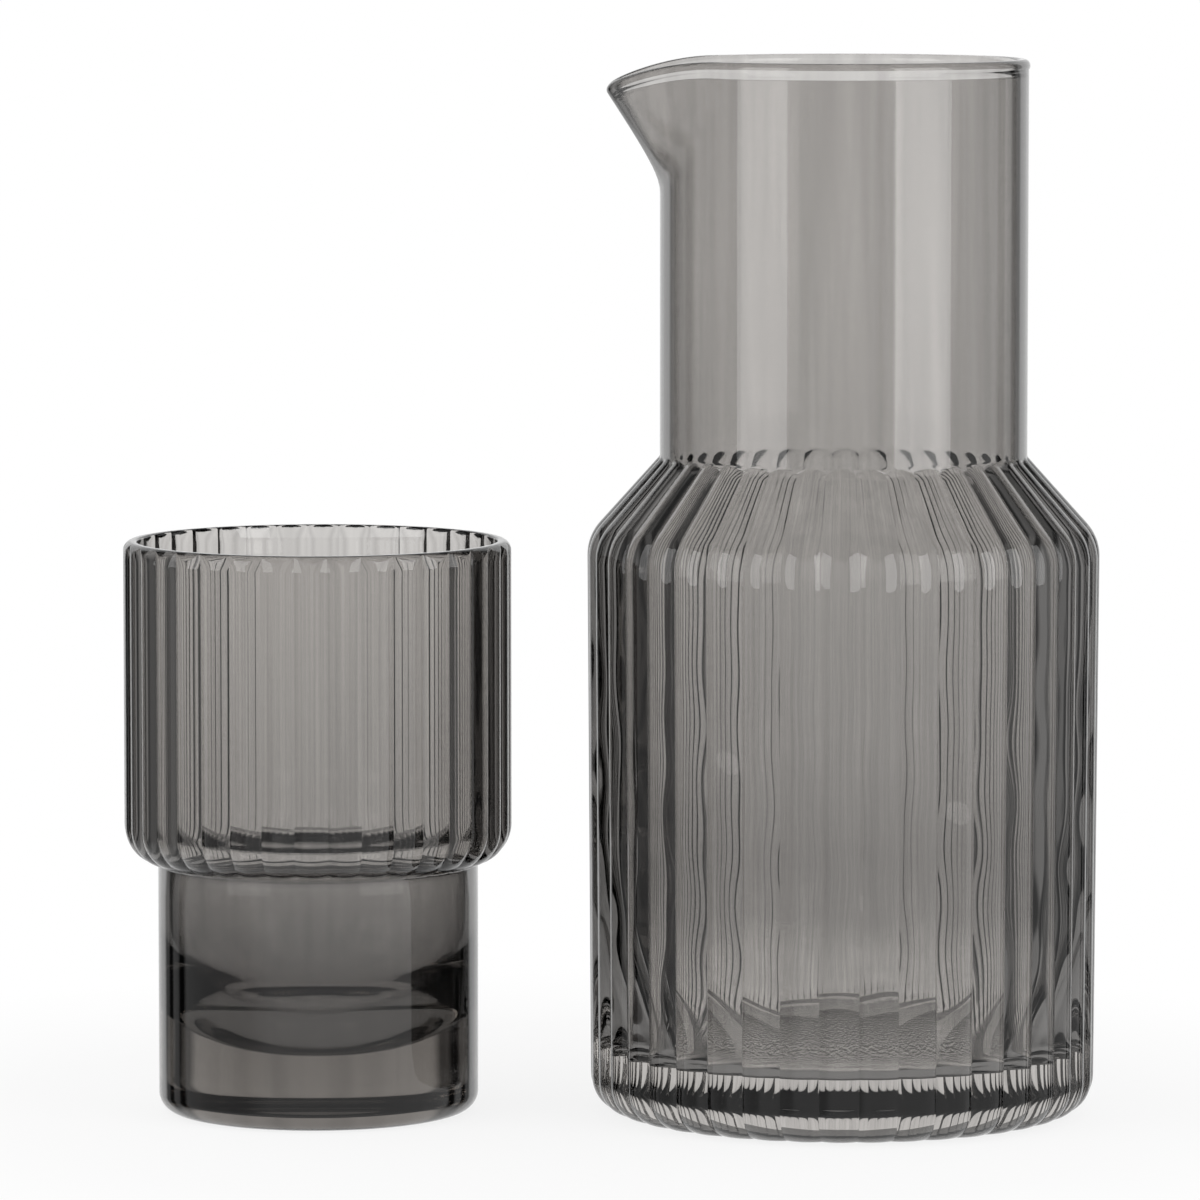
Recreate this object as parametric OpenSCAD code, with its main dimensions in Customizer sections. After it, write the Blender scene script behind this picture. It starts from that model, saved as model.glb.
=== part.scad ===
// Bedside carafe with its tumbler, smoke-grey glass, in millimetres.
// The carafe stands on the origin with its pouring lip towards -X.
// The tumbler stands beside it on the same table, on the side of the lip.

/* [Carafe] */
// Height from the table to the rim
carafe_h = 213; // [190:1:250]
// Diameter over the rib crests just under the shoulder
body_d = 103.4; // [94:0.2:120]
// Diameter over the rib crests just above the foot
body_low_d = 102; // [92:0.2:118]
// Height at which the shoulder meets the neck
shoulder_h = 133; // [110:0.5:150]
// Lean of the shoulder away from upright, in degrees
shoulder_lean = 42; // [32:1:52]
// Rounding where the body turns into the shoulder
shoulder_round = 10; // [5:0.5:14]
// Rounding of the foot's outer edge
foot_round = 7.5; // [4:0.5:10]
// Outside diameter of the plain neck
neck_d = 74.1; // [66:0.1:82]
// Glass thickness of the neck and the rim
neck_wall = 2.2; // [1.6:0.1:3.5]
// Glass thickness of the body behind a rib valley
body_wall = 2.4; // [1.6:0.1:4]
// Thickness of the solid glass bottom
bottom_t = 12.5; // [8:0.5:24]
// Rounding between the bottom and the wall, inside
hollow_round = 5; // [4:0.5:12]
// Distance by which the wall thickens towards the bottom
foot_swell = 3; // [0:0.5:5]
// Height over which the wall thickens above the rounding
foot_swell_h = 34; // [20:1:50]
// Rounding of the inner edge where the shoulder meets the neck
throat_round = 5.5; // [2:0.5:8]
// Width of the shallow hollow under the foot
recess_d = 62; // [40:1:76]
// Depth of the shallow hollow under the foot
recess_depth = 2; // [1:0.1:4]

/* [Ribs] */
// Number of ribs round the carafe
carafe_ribs = 40; // [30:1:48]
// Number of ribs round the tumbler
tumbler_ribs = 36; // [28:1:42]
// Depth of the valleys between ribs, as a share of the radius
rib_depth_share = 0.022; // [0.01:0.001:0.03]
// Turn of the carafe's ribs about its axis, in degrees
rib_turn = 2.2; // [0:0.1:9]

/* [Pouring lip] */
// Distance by which the tip of the lip stands out from the neck
lip_reach = 11.9; // [6:0.1:14]
// Height below the rim at which the lip begins to leave the neck
lip_h = 27; // [20:0.5:40]
// Distance by which the tip of the lip lies below the rim
lip_dip = 4.9; // [0:0.1:8]
// Half-angle over which the rim dips towards the tip, in degrees
lip_dip_angle = 42; // [30:1:48]
// Power of the rim's dip, where 1 is straight and more leaves the dip to the tip
lip_dip_power = 2.1; // [1:0.1:3]
// Softness of the dip at the tip, in degrees
lip_dip_soft = 2; // [1:0.5:5]
// Bluntness of the tip seen from above, in degrees
lip_blunt = 5; // [2:0.5:10]
// Height over which the lip turns from upright to its slope
lip_ease = 5; // [2:0.5:12]

/* [Tumbler] */
// Height from the table to the tumbler's rim
tumbler_h = 116; // [95:0.5:140]
// Diameter over the rib crests of the bowl
bowl_d = 78.4; // [74:0.2:88]
// Height of the step under the bowl
step_h = 50.5; // [40:0.5:60]
// Clearance all round between the tumbler's foot and the carafe's neck
foot_clearance = 2.45; // [1.5:0.05:4]
// Rounding under the bowl
bowl_round = 8; // [5:0.5:10]
// Rounding of the foot's lower edge
base_round = 4; // [2:0.5:6]
// Glass thickness of the bowl behind a rib valley
bowl_wall = 2; // [1.5:0.1:3]
// Glass thickness of the foot's side
foot_wall = 2.8; // [2:0.1:5]
// Glass thickness of the shelf inside the step
shelf_t = 3.2; // [3:0.1:8]
// Thickness of the solid glass bottom
base_t = 15; // [8:0.5:22]
// Rounding between the bottom and the side, inside the foot
cup_round = 25; // [6:0.5:28]
// Height of the smooth rim above the ends of the ribs
rim_band = 2.2; // [1.5:0.1:4]
// Distance by which the rim draws in over that height
rim_draw = 1.7; // [1:0.1:1.9]
// Rounding of the rim's inner edge
rim_soft = 0.5; // [0.2:0.1:0.8]
// Width of the shallow hollow under the tumbler
hollow_d = 44; // [30:1:50]
// Depth of the shallow hollow under the tumbler
hollow_depth = 1; // [0.5:0.1:2]

/* [Layout] */
// Free space between the carafe's body and the tumbler's bowl
vessel_gap = 15.3; // [5:0.1:60]

/* [Hidden] */
$fn = 128;

// Extra length of every cut, so that it passes the face it opens
overrun = 2;
// Columns of the skin across one rib
rib_columns = 6;
// Steps of a rounding in the ribbed skin
skin_steps = 4;

// Radii
body_r = body_d / 2;
low_r = body_low_d / 2;
neck_r = neck_d / 2;
bore_r = neck_r - neck_wall;
bowl_r = bowl_d / 2;
foot_r = bore_r - foot_clearance;

// Hollow of the carafe: thicker foot, wall, cone under the shoulder, neck
valley_share = 1 - rib_depth_share;
hollow_r = body_r * valley_share - body_wall;
hollow_low_r = low_r * valley_share - body_wall;
hollow_foot_r = hollow_low_r - foot_swell;
swell_z = bottom_t + hollow_round + foot_swell_h;
inner_rise = tan(shoulder_lean) * valley_share;
inner_lean = atan(inner_rise);
cone_wall = body_wall / cos(shoulder_lean);
bend_z = shoulder_h + (neck_r - (hollow_r + cone_wall) / valley_share) / tan(shoulder_lean);
throat_z = bend_z + (hollow_r - bore_r) / inner_rise;
bend_run = shoulder_round * tan(inner_lean / 2);
throat_run = throat_round * tan(inner_lean / 2);

// Outer corner between the body and the shoulder
corner_z = shoulder_h - (body_r - neck_r) / tan(shoulder_lean);
corner_run = shoulder_round * tan(shoulder_lean / 2);

// The rim with the lip is a ring of its own, let into the neck's wall
lip_z = carafe_h - lip_h;
ring_z = lip_z - neck_wall;
ring_top = lip_z - neck_wall / 2;
seam = neck_wall / 25;
rim_half = neck_wall / 2;
lip_rows = 7;
rim_rows = 5;

// Hollow of the tumbler. The shares are of the shelf's width, and of the room for the bottom's rounding
shelf_corner_share = 0.6;
shelf_edge_share = 0.35;
cup_turn_share = 0.9;
bowl_in_r = bowl_r * valley_share - bowl_wall;
cup_r = foot_r - foot_wall;
shelf_z = step_h + shelf_t;
shelf_w = bowl_in_r - cup_r;
shelf_corner = shelf_corner_share * shelf_w;
shelf_edge = shelf_edge_share * shelf_w;
cup_turn = min(cup_round, cup_turn_share * cup_r, cup_turn_share * (shelf_z - shelf_edge - base_t));

// Place of the tumbler's axis
tumbler_x = -(body_r + vessel_gap + bowl_r);

glass_colour = [0.46, 0.44, 0.42, 0.55];

// Points of an arc in the plane of a profile, as radius and height
function arc(r, z, size, from, to, steps) =
    [for (i = [0:steps])
        let (a = from + (to - from) * i / steps)
        [r + size * cos(a), z + size * sin(a)]];

// Valley between two ribs: 0 on a crest, 1 where two ribs meet
function valley(turn_share) =
    let (t = 2 * (turn_share - floor(turn_share)) - 1)
    t * t;

// Two triangles between four neighbouring points of a skin
function cell(low_a, low_b, top_a, top_b) =
    [[low_a, top_a, top_b], [low_a, top_b, low_b]];

// Flattens a list of lists by one level
function joined(lists) = [for (list = lists) for (item = list) item];

// Solid with a ribbed skin. Each ring is a crest radius, a height and a valley depth share
module ribbed_solid(rings, ribs, turn) {
    columns = ribs * rib_columns;
    last = len(rings) - 1;
    points = [for (ring = rings)
        for (k = [0:columns - 1])
            let (a = turn + 360 * k / columns)
            let (r = ring[0] * (1 - ring[2] * valley(k / rib_columns)))
            [r * cos(a), r * sin(a), ring[1]]];
    sides = joined([for (i = [0:last - 1])
        for (k = [0:columns - 1])
            let (next = (k + 1) % columns)
            cell(i * columns + k, i * columns + next, (i + 1) * columns + k, (i + 1) * columns + next)]);
    bottom = [[for (k = [0:columns - 1]) k]];
    top = [[for (k = [0:columns - 1]) last * columns + columns - 1 - k]];
    polyhedron(points = points, faces = concat(sides, bottom, top), convexity = 10);
}

// Skin of the carafe from the foot to the inside of the neck's wall
module carafe_body() {
    foot = arc(low_r - foot_round, foot_round, foot_round, -90, 0, skin_steps + 1);
    bend = arc(body_r - shoulder_round, corner_z - corner_run, shoulder_round, 0, shoulder_lean, skin_steps);
    end = [[neck_r - rim_half, shoulder_h + rim_half / tan(shoulder_lean)]];
    rings = [for (p = concat(foot, bend, end)) [p[0], p[1], rib_depth_share]];
    ribbed_solid(rings, carafe_ribs, rib_turn);
}

// Radius of the lip's tip at a height, for a neck of the given radius
function tip_r(round_r, z) =
    let (rise = max(0, z - lip_z))
    round_r + lip_reach * (norm([rise, lip_ease]) - lip_ease) / (norm([lip_h - lip_dip, lip_ease]) - lip_ease);

// Radius of the rim ring: the neck's circle, drawn out along its tangents to the tip
function lip_r(round_r, a, z) =
    let (half = acos(round_r / tip_r(round_r, z)))
    let (off = sqrt(a * a + lip_blunt * lip_blunt) - lip_blunt)
    round_r / cos(max(0, half - off));

// Height of the rim at an angle from the lip
function rim_z(a) =
    let (away = min(1, (norm([a, lip_dip_soft]) - lip_dip_soft) / lip_dip_angle))
    carafe_h - lip_dip * pow(1 - away, lip_dip_power);

// Section through the rim ring: up outside, over the rounded edge, down inside
function rim_section(a) =
    let (edge_z = rim_z(a) - rim_half)
    let (heights = [for (j = [0:lip_rows]) ring_z + (edge_z - ring_z) * j / lip_rows])
    let (out_r = lip_r(neck_r - seam, a, edge_z))
    let (in_r = lip_r(bore_r + seam, a, edge_z))
    concat(
        [for (z = heights) [lip_r(neck_r - seam, a, z), z]],
        [for (j = [1:rim_rows])
            let (turn = 180 * j / (rim_rows + 1))
            [(out_r + in_r + (out_r - in_r) * cos(turn)) / 2, edge_z + rim_half * sin(turn)]],
        [for (j = [0:lip_rows]) let (z = heights[lip_rows - j]) [lip_r(bore_r + seam, a, z), z]]
    );

// Top of the neck with the drawn pouring lip, pointing towards -X
module rim_ring() {
    fine = [for (i = [0:39]) -50 + 2.5 * i];
    wide = [for (i = [0:51]) 50 + 5 * i];
    angles = concat(fine, wide);
    sections = [for (a = angles) rim_section(a > 180 ? a - 360 : a)];
    columns = len(angles);
    rows = len(sections[0]);
    points = [for (k = [0:columns - 1])
        for (p = sections[k])
            [-p[0] * cos(angles[k]), -p[0] * sin(angles[k]), p[1]]];
    faces = joined([for (k = [0:columns - 1])
        for (j = [0:rows - 1])
            let (side = ((k + 1) % columns) * rows)
            let (up = (j + 1) % rows)
            cell(k * rows + j, side + j, k * rows + up, side + up)]);
    polyhedron(points = points, faces = faces, convexity = 10);
}

// Half section of the carafe's hollow
module carafe_hollow_section() {
    bend_c = [hollow_r - shoulder_round, bend_z - bend_run];
    throat_c = [bore_r + throat_round, throat_z + throat_run];
    difference() {
        union() {
            polygon([
                [0, bottom_t],
                [hollow_foot_r - hollow_round, bottom_t],
                [hollow_foot_r, bottom_t + hollow_round],
                [hollow_low_r, swell_z],
                [hollow_r, bend_c[1]],
                [bend_c[0] + shoulder_round * cos(inner_lean), bend_c[1] + shoulder_round * sin(inner_lean)],
                [throat_c[0] - throat_round * cos(inner_lean), throat_c[1] - throat_round * sin(inner_lean)],
                [bore_r, throat_c[1]],
                [bore_r, ring_top + overrun],
                [0, ring_top + overrun]
            ]);
            translate([hollow_foot_r - hollow_round, bottom_t + hollow_round]) circle(r = hollow_round);
            translate(bend_c) circle(r = shoulder_round);
        }
        translate(throat_c) circle(r = throat_round);
    }
}

// Shallow hollow under a foot, part of a ball
module recess(width, depth) {
    ball_r = (width * width / 4 + depth * depth) / (2 * depth);
    translate([0, 0, depth - ball_r]) sphere(r = ball_r);
}

// One-piece glass carafe
module carafe() {
    neck_foot = shoulder_h - 3 * neck_wall;
    color(glass_colour)
    difference() {
        union() {
            carafe_body();
            translate([0, 0, neck_foot]) cylinder(r = neck_r, h = ring_top - neck_foot);
            rim_ring();
        }
        rotate_extrude() carafe_hollow_section();
        recess(recess_d, recess_depth);
    }
}

// Skin of the tumbler's bowl, drawn in under the bowl and at the rim
module bowl_skin() {
    under = arc(bowl_r - bowl_round, step_h + bowl_round, bowl_round, -90, 0, skin_steps + 2);
    wall = [for (p = under) [p[0], p[1], rib_depth_share]];
    rim = [for (i = [0:skin_steps])
        let (a = 90 * i / skin_steps)
        [bowl_r - rim_draw * (1 - cos(a)), tumbler_h - rim_band * (1 - sin(a)), rib_depth_share * cos(a)]];
    ribbed_solid(concat(wall, rim), tumbler_ribs, 180 / tumbler_ribs);
}

// Half section of the tumbler's foot, carried up into the bowl
module foot_section() {
    union() {
        translate([0, base_round]) square([foot_r, step_h + shelf_t / 2 - base_round]);
        square([foot_r - base_round, base_round]);
        translate([foot_r - base_round, base_round]) circle(r = base_round);
    }
}

// Half section of the tumbler's hollow
module tumbler_hollow_section() {
    corner_c = [bowl_in_r - shelf_corner, shelf_z + shelf_corner];
    edge_c = [cup_r + shelf_edge, shelf_z - shelf_edge];
    rim_c = [bowl_in_r + rim_soft, tumbler_h - rim_soft];
    difference() {
        union() {
            polygon([
                [0, base_t],
                [cup_r - cup_turn, base_t],
                [cup_r, base_t + cup_turn],
                [cup_r, edge_c[1]],
                [edge_c[0], shelf_z],
                [corner_c[0], shelf_z],
                [bowl_in_r, corner_c[1]],
                [bowl_in_r, rim_c[1]],
                [rim_c[0], tumbler_h],
                [rim_c[0], tumbler_h + overrun],
                [0, tumbler_h + overrun]
            ]);
            intersection() {
                translate([cup_r - cup_turn, base_t + cup_turn]) circle(r = cup_turn);
                square([cup_r, base_t + cup_turn]);
            }
            translate(corner_c) circle(r = shelf_corner);
        }
        translate(edge_c) circle(r = shelf_edge);
        translate(rim_c) circle(r = rim_soft);
    }
}

// One-piece glass tumbler
module tumbler() {
    color(glass_colour)
    translate([tumbler_x, 0, 0])
    difference() {
        union() {
            bowl_skin();
            rotate_extrude() foot_section();
        }
        rotate_extrude() tumbler_hollow_section();
        recess(hollow_d, hollow_depth);
    }
}

carafe();
tumbler();
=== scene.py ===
import math

import bpy
import numpy as np
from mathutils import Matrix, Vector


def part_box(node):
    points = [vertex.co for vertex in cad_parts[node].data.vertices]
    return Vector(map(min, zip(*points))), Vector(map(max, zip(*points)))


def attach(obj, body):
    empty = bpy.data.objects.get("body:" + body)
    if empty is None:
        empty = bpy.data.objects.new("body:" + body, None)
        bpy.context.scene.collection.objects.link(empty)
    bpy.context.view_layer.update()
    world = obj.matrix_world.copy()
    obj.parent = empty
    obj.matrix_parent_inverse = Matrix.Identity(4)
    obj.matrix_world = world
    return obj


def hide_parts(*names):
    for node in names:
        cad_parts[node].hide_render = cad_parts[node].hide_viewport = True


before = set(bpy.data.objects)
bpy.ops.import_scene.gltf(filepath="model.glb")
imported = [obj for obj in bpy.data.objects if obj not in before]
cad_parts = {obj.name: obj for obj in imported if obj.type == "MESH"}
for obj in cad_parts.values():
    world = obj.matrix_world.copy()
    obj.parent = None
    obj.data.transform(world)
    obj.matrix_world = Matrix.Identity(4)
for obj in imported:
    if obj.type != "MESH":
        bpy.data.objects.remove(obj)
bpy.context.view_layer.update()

# Carafe: one piece of smoke-grey glass, blown into a ribbed mould, with a
# heavy solid foot. The neck is left plain, its rim is melted smooth and the
# pouring lip is drawn out of it by hand while the glass is soft.

# sizes of the glass are in millimetres, and angles in degrees but for the lean of the shoulder
MM = 0.001
CARAFE_H = round(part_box("carafe")[1][2] / MM, 1)
SHOULDER_H = 133.0
LEAN = math.radians(42)
BODY_R = 51.7
LOW_R = 51.0
SHOULDER_ROUND = 10.0
FOOT_ROUND = 7.5
NECK_R = 37.05
NECK_WALL = 2.2
BORE_R = NECK_R - NECK_WALL
BODY_WALL = 2.4
BOTTOM_T = 12.5
HOLLOW_ROUND = 5.0
FOOT_SWELL = 3.0
FOOT_SWELL_H = 34.0
THROAT_ROUND = 5.5
THROAT_RISE = 0.65
RECESS_R = 31.0
RECESS_DEPTH = 2.0

# the ribs: how many, how deep as a share of the radius, and how many columns of points each has
CARAFE_RIBS = 40
RIB_DEPTH = 0.022
RIB_TURN = 2.2
RIB_COLUMNS = 14
# half the height over which a rib's end is melted into the neck
RIB_END = 0.42

# the lip and the melted rim
LIP_REACH = 11.9
LIP_H = 27.0
LIP_DIP = 4.9
LIP_DIP_ANGLE = 42.0
LIP_DIP_POWER = 2.1
LIP_DIP_SOFT = 2.0
LIP_BLUNT = 5.0
LIP_EASE = 5.0
RIM_BEAD = 1.35

# unevenness of the inside: depth, waves round the axis, height of one wave, and shift
INNER_WAVES = [(0.03, 7, 41, 0), (0.03, -11, 29, 90), (0.015, 17, 19, 40), (0.02, -5, 63, 200)]
# what that depth is multiplied by, and the height: above the first, and below the second
WAVES_HIGH, WAVES_LOW = (0.6, 110.0), (4.1, 30.0)
# the unevenness fades out over these heights, above the bottom and below the throat
WAVES_FADE_BOTTOM, WAVES_FADE_THROAT = 25.0, 20.0


def rib_angles(ribs, turn):
    """Angles of the skin's columns, closer together in the valleys, and each one's depth, 0 to 1."""
    u = np.linspace(-1, 1, RIB_COLUMNS, endpoint=False)
    t = np.sin(u * math.pi / 2)
    a = np.concatenate([(i + (t + 1) / 2) * 360 / ribs for i in range(ribs)])
    return a + turn, np.tile(t * t, ribs)


def arc(r, z, size, start, end, steps):
    """Points of an arc in a profile, as a list of radius and height."""
    a = np.radians(np.linspace(start, end, steps))
    return [(r + size * math.cos(v), z + size * math.sin(v)) for v in a]


def run(start, end, steps):
    """Points of a straight stretch of a profile, its first point left out."""
    return [
        (start[0] + (end[0] - start[0]) * i / steps, start[1] + (end[1] - start[1]) * i / steps)
        for i in range(1, steps + 1)
    ]


def ring(angles, radii, heights):
    """One row of points round the axis."""
    a = np.radians(angles)
    r = np.broadcast_to(radii, a.shape)
    z = np.broadcast_to(heights, a.shape)
    return np.stack([r * np.cos(a), r * np.sin(a), z], axis=1)


def vessel_mesh(name, rows, centre):
    """A closed glass wall: rows from the middle of the underside, up outside and down inside."""
    columns = len(rows[0])
    points = np.concatenate([[[0, 0, centre[0]]], np.concatenate(rows), [[0, 0, centre[1]]]])
    base = 1 + columns * np.arange(len(rows) - 1)[:, None]
    k = np.arange(columns)[None, :]
    n = (k + 1) % columns
    quads = np.stack([base + k, base + n, base + columns + n, base + columns + k], axis=2)
    faces = quads.reshape(-1, 4).tolist()
    first, last, end = 1, 1 + columns * (len(rows) - 1), len(points) - 1
    faces += [[0, first + (i + 1) % columns, first + i] for i in range(columns)]
    faces += [[end, last + i, last + (i + 1) % columns] for i in range(columns)]
    mesh = bpy.data.meshes.new(name)
    mesh.from_pydata((points * MM).tolist(), [], faces)
    mesh.shade_smooth()
    piece = bpy.data.objects.new(name, mesh)
    bpy.context.scene.collection.objects.link(piece)
    return piece


def tip_r(round_r, z):
    """Radius of the lip's tip at a height."""
    rise, whole = np.maximum(0, z - (CARAFE_H - LIP_H)), LIP_H - LIP_DIP
    drawn = (np.hypot(rise, LIP_EASE) - LIP_EASE) / (math.hypot(whole, LIP_EASE) - LIP_EASE)
    return round_r + LIP_REACH * drawn


def lip_r(round_r, from_lip, z):
    """The neck's circle drawn out along its tangents to the tip."""
    half = np.degrees(np.arccos(round_r / tip_r(round_r, z)))
    off = np.sqrt(from_lip**2 + LIP_BLUNT**2) - LIP_BLUNT
    return round_r / np.cos(np.radians(np.maximum(0, half - off)))


def carafe_inside():
    """Profile of the inside below the lip, from the neck down to the middle of the bottom."""
    valley_share = 1 - RIB_DEPTH
    low_wall_r = LOW_R * valley_share - BODY_WALL
    wall_r = BODY_R * valley_share - BODY_WALL
    rise = math.tan(LEAN) * valley_share
    inner_lean = math.degrees(math.atan(rise))
    wall_drop = (wall_r + BODY_WALL / math.cos(LEAN)) / valley_share - NECK_R
    bend_z = SHOULDER_H - wall_drop / math.tan(LEAN)
    throat_z = bend_z + (wall_r - BORE_R) / rise + THROAT_RISE
    turn = math.tan(math.radians(inner_lean / 2))
    throat_c = (BORE_R + THROAT_ROUND, throat_z + THROAT_ROUND * turn)
    bend_c = (wall_r - SHOULDER_ROUND, bend_z - SHOULDER_ROUND * turn)
    corner_z = BOTTOM_T + HOLLOW_ROUND
    swell_z = corner_z + FOOT_SWELL_H

    inside = run((BORE_R, CARAFE_H - LIP_H), (BORE_R, throat_c[1]), 6)[:-1]
    inside += arc(*throat_c, THROAT_ROUND, 180, 180 + inner_lean, 7)
    bend = arc(*bend_c, SHOULDER_ROUND, inner_lean, 0, 8)
    inside += run(inside[-1], bend[0], 4)[:-1]
    inside += bend
    inside += run(inside[-1], (low_wall_r, swell_z), 50)
    for r, z in run(inside[-1], (low_wall_r, corner_z), 14)[:-1]:
        inside.append((r - FOOT_SWELL * ((swell_z - z) / FOOT_SWELL_H) ** 2, z))
    inside += arc(low_wall_r - FOOT_SWELL - HOLLOW_ROUND, corner_z, HOLLOW_ROUND, 0, -90, 12)
    inside += run(inside[-1], (2.5, BOTTOM_T), 8)
    return inside, throat_z


def unevenness(angles, z, throat_z):
    """What the inside departs from round at a height, most of all low down in the wall."""
    free = min(1, max(0, (z - BOTTOM_T) / WAVES_FADE_BOTTOM))
    free *= min(1, max(0, (throat_z - z) / WAVES_FADE_THROAT))
    low = min(1, max(0, (WAVES_HIGH[1] - z) / (WAVES_HIGH[1] - WAVES_LOW[1])))
    waves = sum(
        depth * np.sin(np.radians(round_axis * angles + shift) + z * 2 * math.pi / height)
        for depth, round_axis, height, shift in INNER_WAVES
    )
    return free * (WAVES_HIGH[0] + (WAVES_LOW[0] - WAVES_HIGH[0]) * low) * waves


def carafe_rows():
    angles, valley = rib_angles(CARAFE_RIBS, RIB_TURN)
    from_lip = angles % 360 - 180
    rib = 1 - RIB_DEPTH * valley
    rows = []
    # underside: a shallow hollow, then the ring that stands on the table
    for s in np.linspace(0.08, 1, 12):
        rows.append(ring(angles, RECESS_R * s, RECESS_DEPTH * (1 - s * s)))
    for s in (0.03, 0.5, 0.96):
        rows.append(ring(angles, RECESS_R + (LOW_R - FOOT_ROUND - RECESS_R) * s * rib, 0.0))
    # foot, body and bend
    corner_z = SHOULDER_H - (BODY_R - NECK_R) / math.tan(LEAN)
    bend_z = corner_z - SHOULDER_ROUND * math.tan(LEAN / 2)
    outside = arc(LOW_R - FOOT_ROUND, FOOT_ROUND, FOOT_ROUND, -90, 0, 12)
    outside += run((LOW_R, FOOT_ROUND), (BODY_R, bend_z), 12)[:-1]
    outside += arc(BODY_R - SHOULDER_ROUND, bend_z, SHOULDER_ROUND, 0, math.degrees(LEAN), 10)
    for r, z in outside:
        rows.append(ring(angles, r * rib, z))
    # cone, up to the wavy line where each rib runs into the neck
    meet = SHOULDER_H - (NECK_R / rib - NECK_R) / math.tan(LEAN)
    cone_z = outside[-1][1]
    for s in (*np.linspace(0.12, 0.94, 8), 0.985, 1):
        z = cone_z + (meet - RIB_END - cone_z) * s
        r = NECK_R + (SHOULDER_H - z) * math.tan(LEAN)
        rows.append(ring(angles, r * rib, z))
    proud = RIB_END * math.tan(LEAN) * rib
    for s in (0.16, 0.33, 0.5, 0.67, 0.84):
        rows.append(ring(angles, NECK_R + proud * (1 - s) ** 2, meet - RIB_END + 2 * RIB_END * s))
    # neck and the outside of the lip
    lip_z = CARAFE_H - LIP_H
    for s in (0.0, 0.004, 0.03, 0.3, 0.65):
        rows.append(ring(angles, NECK_R, meet + RIB_END + (lip_z - meet - RIB_END) * s))
    from_tip = (np.hypot(from_lip, LIP_DIP_SOFT) - LIP_DIP_SOFT) / LIP_DIP_ANGLE
    dip = (1 - np.minimum(1, from_tip)) ** LIP_DIP_POWER
    turn_in = math.acos(NECK_WALL / 2 / RIM_BEAD)
    bead_z = CARAFE_H - LIP_DIP * dip - RIM_BEAD
    edge_z = bead_z - RIM_BEAD * math.sin(turn_in)
    for s in np.linspace(0, 1, 16):
        z = lip_z + (edge_z - lip_z) * s
        rows.append(ring(angles, lip_r(NECK_R, from_lip, z), z))
    # the melted rim is a bead a little thicker than the wall
    out_r, in_r = lip_r(NECK_R, from_lip, edge_z), lip_r(BORE_R, from_lip, edge_z)
    for a in np.linspace(-turn_in, math.pi + turn_in, 19)[1:-1]:
        across = (out_r - in_r) / NECK_WALL * RIM_BEAD * np.cos(a)
        rows.append(ring(angles, (out_r + in_r) / 2 + across, bead_z + RIM_BEAD * np.sin(a)))
    # inside: lip, neck, throat, shoulder, wall and bottom
    for s in np.linspace(1, 0, 16):
        z = lip_z + (edge_z - lip_z) * s
        rows.append(ring(angles, lip_r(BORE_R, from_lip, z), z))
    inside, throat_z = carafe_inside()
    for r, z in inside:
        rows.append(ring(angles, r + unevenness(angles, z, throat_z), z))
    return rows


carafe = vessel_mesh("carafe_glass", carafe_rows(), (RECESS_DEPTH, BOTTOM_T))


def add_node(tree, kind, inputs=None, **settings):
    """One shader node. Each input is given a value, or the socket that feeds it."""
    made = tree.nodes.new("ShaderNode" + kind)
    for name, value in settings.items():
        setattr(made, name, value)
    for key, value in (inputs or {}).items():
        if isinstance(value, bpy.types.NodeSocket):
            tree.links.new(value, made.inputs[key])
        else:
            made.inputs[key].default_value = value
    return made


def remap(tree, value, low, high, at_low, at_high):
    """A value turned from the range low to high into at_low to at_high, and held beyond it."""
    ends = {"From Min": low, "From Max": high, "To Min": at_low, "To Max": at_high}
    return add_node(tree, "MapRange", {"Value": value, **ends}).outputs["Result"]


def fill_ramp(ramp, colours):
    """Sets a colour ramp's stops from a list of place and colour."""
    stops = ramp.color_ramp.elements
    while len(stops) < len(colours):
        stops.new(0.5)
    for stop, (position, colour) in zip(stops, colours):
        stop.position = position
        stop.color = colour


# clear glass with a thin grey stain on its skin, a trace warmer than grey
STAIN_HUE = (1.0, 0.975, 0.95)
GLASS_IOR = 1.5
# the wall counts as seen edge-on from the first share of turning away, and in full from the second
EDGE_ON = (0.58, 0.72)
# faint upright streaks, drawn out of the soft glass: grain, stretch, and the stain's share in them
STREAK_GRAIN, STREAK_STRETCH, STREAK_SHARE = 260.0, 0.04, (0.86, 1.07)
# slow ripples of mould-blown glass: grain, stretch, strength and depth in metres
RIPPLE_GRAIN, RIPPLE_STRETCH, RIPPLE_STRENGTH, RIPPLE_DEPTH = 22.0, 0.35, 0.05, 0.002
# what the thickness of the glass itself takes away, a little more of the blue
GLASS_BODY = (0.12, 0.06, 0.0, 1)


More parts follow.
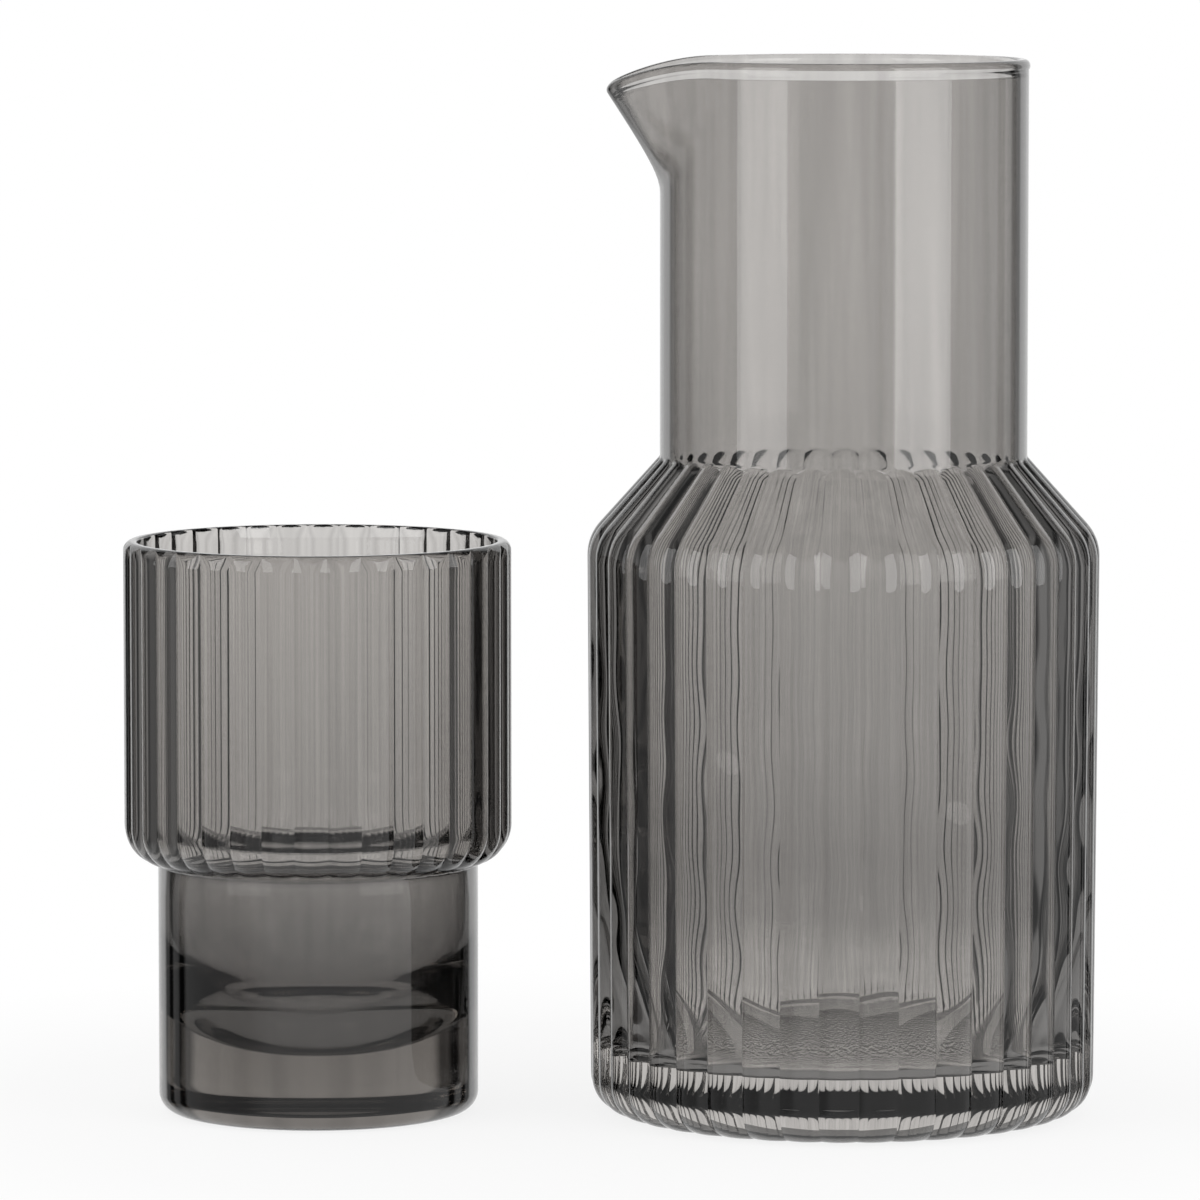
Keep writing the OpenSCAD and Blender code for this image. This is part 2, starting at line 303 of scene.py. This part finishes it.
def smoke_glass(name, stain_and_shade, density):
    """Smoke-grey glass. Its stain and painted shade come as a list of height, lightness, and its share where
    it is seen edge-on; the lightness by height holds painted light and shade as well as the grey stain.
    """
    material = bpy.data.materials.new(name)
    material.use_nodes = True
    tree = material.node_tree
    place = add_node(tree, "TexCoord").outputs["Object"]
    height = add_node(tree, "SeparateXYZ", {"Vector": place}).outputs["Z"]
    ramp = add_node(tree, "ValToRGB", {"Fac": remap(tree, height, 0.0, CARAFE_H * MM, 0.0, 1.0)})
    fill_ramp(ramp, [(z / CARAFE_H, (*(tint * hue for hue in STAIN_HUE), edge)) for z, tint, edge in stain_and_shade])
    # where it is seen edge-on the stain is deepened, partly for its longer path through the skin and partly
    # as painted shade along the edges, but not inside the neck or near the carafe's axis
    across = add_node(tree, "VectorMath", {0: place, 1: (1, 1, 0)}, operation="MULTIPLY").outputs["Vector"]
    radius = add_node(tree, "VectorMath", {0: across}, operation="LENGTH").outputs["Value"]
    middle_r = (NECK_R + BORE_R) / 2 * MM
    outer = add_node(tree, "Math", {0: radius, 1: middle_r}, operation="GREATER_THAN").outputs[0]
    facing = add_node(tree, "LayerWeight").outputs["Facing"]
    skin = add_node(tree, "Math", {0: facing, 1: outer}, operation="MULTIPLY").outputs[0]
    edge_on = remap(tree, skin, *EDGE_ON, 1.0, ramp.outputs["Alpha"])
    stained_and_shaded = add_node(tree, "VectorMath", {0: ramp.outputs["Color"], "Scale": edge_on}, operation="SCALE")
    upright = add_node(tree, "Mapping", {"Vector": place, "Scale": (1, 1, STREAK_STRETCH)})
    grain = {"Vector": upright.outputs["Vector"], "Scale": STREAK_GRAIN, "Detail": 3.0}
    streaks = remap(tree, add_node(tree, "TexNoise", grain).outputs["Fac"], 0.3, 0.7, *STREAK_SHARE)
    colour = {0: stained_and_shaded.outputs["Vector"], "Scale": streaks}
    streaked = add_node(tree, "VectorMath", colour, operation="SCALE").outputs["Vector"]
    drawn_out = add_node(tree, "Mapping", {"Vector": place, "Scale": (1, 1, RIPPLE_STRETCH)})
    grain = {"Vector": drawn_out.outputs["Vector"], "Scale": RIPPLE_GRAIN, "Detail": 1.0}
    ripple = add_node(tree, "TexNoise", grain).outputs["Fac"]
    depth = {"Height": ripple, "Strength": RIPPLE_STRENGTH, "Distance": RIPPLE_DEPTH}
    rippled = add_node(tree, "Bump", depth).outputs["Normal"]
    glass = tree.nodes["Principled BSDF"]
    glass.inputs["Transmission Weight"].default_value = 1.0
    glass.inputs["IOR"].default_value = GLASS_IOR
    glass.inputs["Roughness"].default_value = 0.0
    tree.links.new(streaked, glass.inputs["Base Color"])
    tree.links.new(rippled, glass.inputs["Normal"])
    body = add_node(tree, "VolumeAbsorption", {"Color": GLASS_BODY, "Density": density})
    tree.links.new(body.outputs["Volume"], tree.nodes["Material Output"].inputs["Volume"])
    return material


# the stain's lightness by height is partly painted light and shade: lighter at the foot, darkest over the
# lower body and lighter again up to the neck
CARAFE_STAIN_AND_SHADE = [
    (0, 0.60, 0.22),
    (12, 0.66, 0.22),
    (22, 0.66, 0.22),
    (32, 0.53, 0.22),
    (45, 0.48, 0.22),
    (58, 0.50, 0.22),
    (70, 0.55, 0.22),
    (86, 0.555, 0.22),
    (104, 0.58, 0.22),
    (126, 0.62, 0.3),
    (138, 0.59, 0.25),
    (170, 0.615, 0.25),
]
carafe_glass = smoke_glass("carafe_smoke_glass", CARAFE_STAIN_AND_SHADE, 3.0)
tree = carafe_glass.node_tree
glass = tree.nodes["Principled BSDF"]
place = add_node(tree, "TexCoord").outputs["Object"]

# painted shade: the drawn ridge under the lip is painted near black along its middle line
RIDGE_SHADE_COLOUR = (0.01, 0.01, 0.01, 1)
RIDGE_SHADE_SHARE = 0.95
# in metres: it fades between these distances from its middle line, and starts and is full this far ahead
# of the neck
RIDGE_HALF, RIDGE_START = (0.003, 0.005), (0.0005, 0.006)
# it shows where it is seen edge-on
RIDGE_EDGE_ON = (0.25, 0.6)
where = add_node(tree, "SeparateXYZ", {"Vector": place}).outputs
aside = add_node(tree, "Math", {0: where["Y"]}, operation="ABSOLUTE").outputs[0]
near_ridge = remap(tree, aside, *RIDGE_HALF, 1.0, 0.0)
lip_ends = [-NECK_R * MM - ahead for ahead in RIDGE_START]
on_lip = remap(tree, where["X"], *lip_ends, 0.0, RIDGE_SHADE_SHARE)
ridge_shade_mask = add_node(tree, "Math", {0: near_ridge, 1: on_lip}, operation="MULTIPLY").outputs[0]
facing = add_node(tree, "LayerWeight").outputs["Facing"]
edge_share = remap(tree, facing, *RIDGE_EDGE_ON, 0.0, 1.0)
ridge_painted_shade = add_node(tree, "Math", {0: ridge_shade_mask, 1: edge_share}, operation="MULTIPLY").outputs[0]
# the glass's colour so far: its grey stain with the painted light and shade in it
stain_and_shade = glass.inputs["Base Color"].links[0].from_socket
both = {"Factor": ridge_painted_shade, 6: stain_and_shade, 7: RIDGE_SHADE_COLOUR}
ridge_shaded = add_node(tree, "Mix", both, data_type="RGBA")
tree.links.new(ridge_shaded.outputs[2], glass.inputs["Base Color"])

# the shallow hollow under the foot is grained and a little frosted by the mould
GRAIN, GRAIN_STRENGTH, FROST_SHARE = 700.0, 0.6, 0.5
# in metres
GRAIN_DEPTH = 0.0008
# heights count this many times, so that only the hollow is near enough to the origin
FLATTENED = 8
flat = add_node(tree, "VectorMath", {0: place, 1: (1, 1, FLATTENED)}, operation="MULTIPLY")
from_middle = add_node(tree, "VectorMath", {0: flat.outputs["Vector"]}, operation="LENGTH").outputs["Value"]
under = remap(tree, from_middle, RECESS_R * MM, (RECESS_R + 1) * MM, GRAIN_STRENGTH, 0.0)
grain = add_node(tree, "TexNoise", {"Vector": place, "Scale": GRAIN}).outputs["Fac"]
smooth = glass.inputs["Normal"].links[0].from_socket
grained = {"Height": grain, "Strength": under, "Distance": GRAIN_DEPTH, "Normal": smooth}
tree.links.new(add_node(tree, "Bump", grained).outputs["Normal"], glass.inputs["Normal"])
frost = add_node(tree, "Math", {0: under, 1: FROST_SHARE}, operation="MULTIPLY").outputs[0]
tree.links.new(frost, glass.inputs["Roughness"])

carafe.data.materials.append(carafe_glass)
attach(carafe, "carafe")
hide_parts("carafe")

# Tumbler: one piece of the same glass. A ribbed bowl narrows in a step to a
# plain foot with a heavy solid bottom; the foot fits the carafe's neck and
# the bowl then rests on its rim. The rim is melted smooth above the ribs.

tumbler_low, tumbler_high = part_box("tumbler")
TUMBLER_X = round((tumbler_low[0] + tumbler_high[0]) / 2 / MM, 1)
TUMBLER_H = round(tumbler_high[2] / MM, 1)
BOWL_R = round((tumbler_high[0] - tumbler_low[0]) / 2 / MM, 1)
BOWL_ROUND = 8.0
BOWL_WALL = 2.0
STEP_H = 50.5
CUP_FOOT_R = 32.4
FOOT_WALL = 2.8
BASE_ROUND = 4.0
BASE_T = 13.0
CUP_ROUND = 25.0
SHELF_T = 3.2
# both roundings of the shelf, as a share of its width
SHELF_ROUND = 0.35
RIM_BAND = 2.2
RIM_DRAW = 1.7
RIM_SOFT = 0.5
UNDER_R = 22.0
UNDER_DEPTH = 1.0
TUMBLER_RIBS = 36


def tumbler_inside():
    """Profile of the inside, from the rim over the shelf into the cup in the foot."""
    bowl_in = BOWL_R * (1 - RIB_DEPTH) - BOWL_WALL
    cup_r = CUP_FOOT_R - FOOT_WALL
    shelf_z = STEP_H + SHELF_T
    corner = SHELF_ROUND * (bowl_in - cup_r)
    inside = arc(bowl_in + RIM_SOFT, TUMBLER_H - RIM_SOFT, RIM_SOFT, 90, 180, 5)
    inside += run(inside[-1], (bowl_in, shelf_z + corner), 10)[:-1]
    inside += arc(bowl_in - corner, shelf_z + corner, corner, 0, -90, 8)
    inside += arc(cup_r + corner, shelf_z - corner, corner, 90, 180, 7)
    inside += run(inside[-1], (cup_r, BASE_T + CUP_ROUND), 6)[:-1]
    inside += arc(cup_r - CUP_ROUND, BASE_T + CUP_ROUND, CUP_ROUND, 0, -90, 14)
    inside += run(inside[-1], (2, BASE_T), 5)
    return inside


def tumbler_rows():
    angles, valley = rib_angles(TUMBLER_RIBS, 180 / TUMBLER_RIBS)
    rib = 1 - RIB_DEPTH * valley
    rows = []
    for s in np.linspace(0.08, 1, 8):
        rows.append(ring(angles, UNDER_R * s, UNDER_DEPTH * (1 - s * s)))
    for s in (0.05, 0.95):
        rows.append(ring(angles, UNDER_R + (CUP_FOOT_R - BASE_ROUND - UNDER_R) * s, 0.0))
    foot = arc(CUP_FOOT_R - BASE_ROUND, BASE_ROUND, BASE_ROUND, -90, 0, 9)
    foot += run(foot[-1], (CUP_FOOT_R, STEP_H - 0.3), 8)
    rows += [ring(angles, r, z) for r, z in foot]
    # the rounding under the ribbed bowl starts at the foot, and its valleys stay just outside it
    step = arc(BOWL_R - BOWL_ROUND, STEP_H + BOWL_ROUND, BOWL_ROUND, -80, 0, 14)
    for i, (r, z) in enumerate(step):
        rows.append(ring(angles, np.maximum(r * rib, CUP_FOOT_R + 0.15 + 0.1 * i), z))
    for r, z in run((BOWL_R, STEP_H + BOWL_ROUND), (BOWL_R, TUMBLER_H - RIM_BAND - 1), 10):
        rows.append(ring(angles, r * rib, z))
    # each rib ends in an arc where it meets the rounded rim
    meet = np.arccos(1 - BOWL_R * RIB_DEPTH * valley / RIM_DRAW)
    for s in np.linspace(0, 1, 9):
        a = meet + (math.pi / 2 - meet) * s
        r = BOWL_R - RIM_DRAW * (1 - np.cos(a))
        rows.append(ring(angles, r, TUMBLER_H - RIM_BAND * (1 - np.sin(a))))
    rows += [ring(angles, r, z) for r, z in tumbler_inside()]
    return [row + [TUMBLER_X, 0, 0] for row in rows]


tumbler = vessel_mesh("tumbler_glass", tumbler_rows(), (UNDER_DEPTH, BASE_T))
# the two points in the middle lie on the tumbler's own axis
for end in (0, len(tumbler.data.vertices) - 1):
    tumbler.data.vertices[end].co.x = TUMBLER_X * MM

# the stain's lightness by height is partly painted shade: the foot is darker, darkest in a painted shade
# line in the crease of the step, and the bowl grows lighter towards the rim
TUMBLER_STAIN_AND_SHADE = [
    (0, 0.44, 0.6),
    (10, 0.36, 0.5),
    (18, 0.34, 0.5),
    (30, 0.34, 0.5),
    (46, 0.46, 0.5),
    (49.8, 0.45, 0.5),
    (50.3, 0.14, 0.8),
    (50.8, 0.14, 0.8),
    (51.4, 0.57, 0.4),
    (70, 0.585, 0.4),
    (88, 0.62, 0.4),
    (106, 0.655, 0.4),
    (116, 0.67, 0.4),
]
tumbler.data.materials.append(smoke_glass("tumbler_smoke_glass", TUMBLER_STAIN_AND_SHADE, 17.0))
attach(tumbler, "tumbler")
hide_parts("tumbler")

# Table: a plain pale round top. Near the glass it shows the glass's shadow, and
# further out it fades into the white wall. Seen in or through the glass it
# is clear, because the room below the horizon stands for it there.

# sizes of the studio are in metres
SET_MIDDLE = -0.05
TABLE_R = 0.22
TABLE_GAP = 0.0002
TABLE_WHITE = (0.9, 0.9, 0.9, 1)
# distance from the middle, and the share of plain white that covers the shadow
FADE_FROM, FADE_TO = (0.12, 0.85), (0.21, 1.0)


def seen_rays(tree):
    """The light path, and 1 for camera, glossy and transmission rays and 0 for the others."""
    path = add_node(tree, "LightPath").outputs
    seen = path["Is Camera Ray"]
    for kind in ("Is Glossy Ray", "Is Transmission Ray"):
        seen = add_node(tree, "Math", {0: seen, 1: path[kind]}, operation="MAXIMUM").outputs[0]
    return path, seen


table = bpy.data.meshes.new("table")
edge = [
    (TABLE_R * math.cos(a) + SET_MIDDLE, TABLE_R * math.sin(a), 0)
    for a in np.radians(np.arange(0, 360, 3))
]
table.from_pydata(edge, [], [tuple(range(len(edge)))])
floor = bpy.data.objects.new("table", table)
floor.location.z = -TABLE_GAP
bpy.context.scene.collection.objects.link(floor)

table_white = bpy.data.materials.new("table_white")
table_white.use_nodes = True
tree = table_white.node_tree
tree.nodes.clear()
path, seen = seen_rays(tree)
place = add_node(tree, "TexCoord").outputs["Object"]
away = add_node(tree, "VectorMath", {0: place, 1: (SET_MIDDLE, 0, 0)}, operation="DISTANCE").outputs["Value"]
fade = remap(tree, away, FADE_FROM[0], FADE_TO[0], FADE_FROM[1], FADE_TO[1])
share = add_node(tree, "Math", {0: seen, 1: fade}, operation="MULTIPLY").outputs[0]
matt = add_node(tree, "BsdfDiffuse", {"Color": TABLE_WHITE}).outputs[0]
glow = add_node(tree, "Emission").outputs[0]
shown = add_node(tree, "MixShader", {0: share, 1: matt, 2: glow}).outputs[0]
in_glass = add_node(tree, "Math", {0: seen, 1: path["Is Camera Ray"]}, operation="SUBTRACT").outputs[0]
clear = add_node(tree, "BsdfTransparent").outputs[0]
surface = add_node(tree, "MixShader", {0: in_glass, 1: shown, 2: clear}).outputs[0]
add_node(tree, "OutputMaterial", {"Surface": surface})
table.materials.append(table_white)

# Room: what the glass shows of a studio. The wall behind it is white with faint
# upright folds, dark flags stand at both sides and the ceiling is grey. The
# camera itself sees plain white, and the table is lit by a plain pale room.

ROOM_LIGHT = (0.75, 0.75, 0.75, 1)
WHITE = (1, 1, 1, 1)
# how light the wall is at each angle from the middle of the wall behind the glass
WALLS = [
    (0, 1.0), (4, 1.0), (8, 0.82), (12, 1.0), (17, 0.87), (21, 1.0), (26, 0.93), (30, 1.0), (36, 1.0),
    (40, 0.25), (44, 0.3), (47, 0.03), (51, 0.03), (54, 0.55), (60, 0.55), (63, 0.03), (68, 0.03),
    (72, 0.8), (180, 0.8),
]
# slope at which the wall turns into the grey ceiling, and how light that is
CEILING_Z, CEILING = (0.45, 0.65), 0.3
# slope at which the white table starts below
TABLE_Z = (-0.5, -0.3)
# the wall on the tumbler's side has less light on it
LEFT_X, LEFT_WALL = (-0.75, -0.55), 0.6
# light that is thrown about inside the glass comes out weaker
BOUNCED = 0.28

world = bpy.data.worlds.new("studio")
bpy.context.scene.world = world
world.use_nodes = True
tree = world.node_tree
tree.nodes.clear()
path, seen = seen_rays(tree)
ray = add_node(tree, "SeparateXYZ", {"Vector": add_node(tree, "TexCoord").outputs["Generated"]}).outputs
azimuth = add_node(tree, "Math", {0: ray["X"], 1: ray["Y"]}, operation="ARCTAN2").outputs[0]
side = add_node(tree, "Math", {0: azimuth}, operation="ABSOLUTE").outputs[0]
turn = add_node(tree, "Math", {0: side, 1: math.pi}, operation="DIVIDE").outputs[0]
walls = add_node(tree, "ValToRGB", {"Fac": turn})
fill_ramp(walls, [(degrees / 180, (level, level, level, 1)) for degrees, level in WALLS])
ceiling = remap(tree, ray["Z"], *CEILING_Z, 1.0, CEILING)
left_wall = remap(tree, ray["X"], *LEFT_X, LEFT_WALL, 1.0)
dimming = add_node(tree, "Math", {0: ceiling, 1: left_wall}, operation="MULTIPLY").outputs[0]
lit = {"Factor": 1.0, 6: walls.outputs["Color"], 7: dimming}
room = add_node(tree, "Mix", lit, data_type="RGBA", blend_type="MULTIPLY").outputs[2]
below = remap(tree, ray["Z"], *TABLE_Z, 1.0, 0.0)
with_table = add_node(tree, "Mix", {"Factor": below, 6: room, 7: WHITE}, data_type="RGBA").outputs[2]
depths = {0: path["Glossy Depth"], 1: path["Transmission Depth"]}
once = add_node(tree, "Math", depths, operation="MINIMUM").outputs[0]
bounced = remap(tree, once, 0.0, 1.0, 1.0, BOUNCED)
dimmed = add_node(tree, "VectorMath", {0: with_table, "Scale": bounced}, operation="SCALE").outputs["Vector"]
to_camera = {"Factor": path["Is Camera Ray"], 6: dimmed, 7: WHITE}
wall = add_node(tree, "Mix", to_camera, data_type="RGBA").outputs[2]
plain = add_node(tree, "Background", {"Color": ROOM_LIGHT}).outputs[0]
shown = add_node(tree, "Background", {"Color": wall}).outputs[0]
surface = add_node(tree, "MixShader", {0: seen, 1: plain, 2: shown}).outputs[0]
add_node(tree, "OutputWorld", {"Surface": surface})

# Soft boxes: two tall lamps that stand on the floor on either side of the
# camera and face the glass. They give the two upright strips on the neck.

BOX_AWAY = 1.5


def soft_box(name, azimuth, watts, width, height):
    """A lamp at an angle from the camera's side of the set, to the right if above zero."""
    lamp = bpy.data.lights.new(name, "AREA")
    lamp.shape = "RECTANGLE"
    lamp.size, lamp.size_y = width, height
    lamp.energy = watts
    box = bpy.data.objects.new(name, lamp)
    a = math.radians(azimuth)
    box.location = (SET_MIDDLE + BOX_AWAY * math.sin(a), -BOX_AWAY * math.cos(a), height / 2)
    box.rotation_euler = (math.radians(90), 0, a)
    bpy.context.scene.collection.objects.link(box)


soft_box("soft_box_right", 50, 9.5, 1.0, 1.4)
soft_box("soft_box_left", -53, 7.5, 0.95, 1.4)

# Camera: in front of the set and a little above the rim, looking down by a few
# degrees through a long lens. Its aim is the point in the picture's middle.

PICTURE_W = 1200
PIXELS_PER_MM = 4.95
SENSOR_W = 36
DISTANCE = 1.66
TILT = math.radians(5.4)
AIM_X, AIM_Z = -0.0491, 0.1038

camera_data = bpy.data.cameras.new("camera")
camera_data.sensor_width = SENSOR_W
camera_data.lens = PIXELS_PER_MM * DISTANCE / MM / PICTURE_W * SENSOR_W
camera_data.clip_end = 50
camera = bpy.data.objects.new("camera", camera_data)
camera.location = (AIM_X, -DISTANCE * math.cos(TILT), AIM_Z + DISTANCE * math.sin(TILT))
camera.rotation_euler = (math.radians(90) - TILT, 0, 0)
bpy.context.scene.collection.objects.link(camera)
bpy.context.scene.camera = camera
bpy.context.scene.view_settings.view_transform = "Standard"
